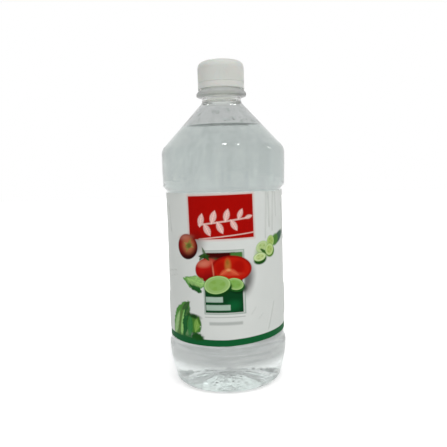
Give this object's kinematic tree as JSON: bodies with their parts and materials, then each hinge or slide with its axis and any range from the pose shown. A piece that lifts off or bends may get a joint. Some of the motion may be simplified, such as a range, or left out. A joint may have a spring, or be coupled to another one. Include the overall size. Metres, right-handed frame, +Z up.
{
  "type": "vinegar bottle",
  "caption": "Clear screw-capped bottle of white vinegar with a wrap-round label between its bumpers, a cone shoulder and a narrow neck.",
  "frame": {"origin": "middle of the foot ring, on the bottle's axis, in the plane that it stands on", "axes": "+Z up along the bottle's axis, -Y towards the front of the label, +X to the right of that front"},
  "size_m": [0.082, 0.082, 0.2139],
  "materials": {
    "bottle": "clear blown PET, glossy",
    "vinegar": "clear colourless liquid",
    "cap": "white moulded polyethylene, satin",
    "label": "printed film label, satin"
  },
  "bodies": {
    "root": {"bottle": "bottle", "vinegar": "vinegar", "cap": "cap", "label": "label"}
  },
  "joints": []
}
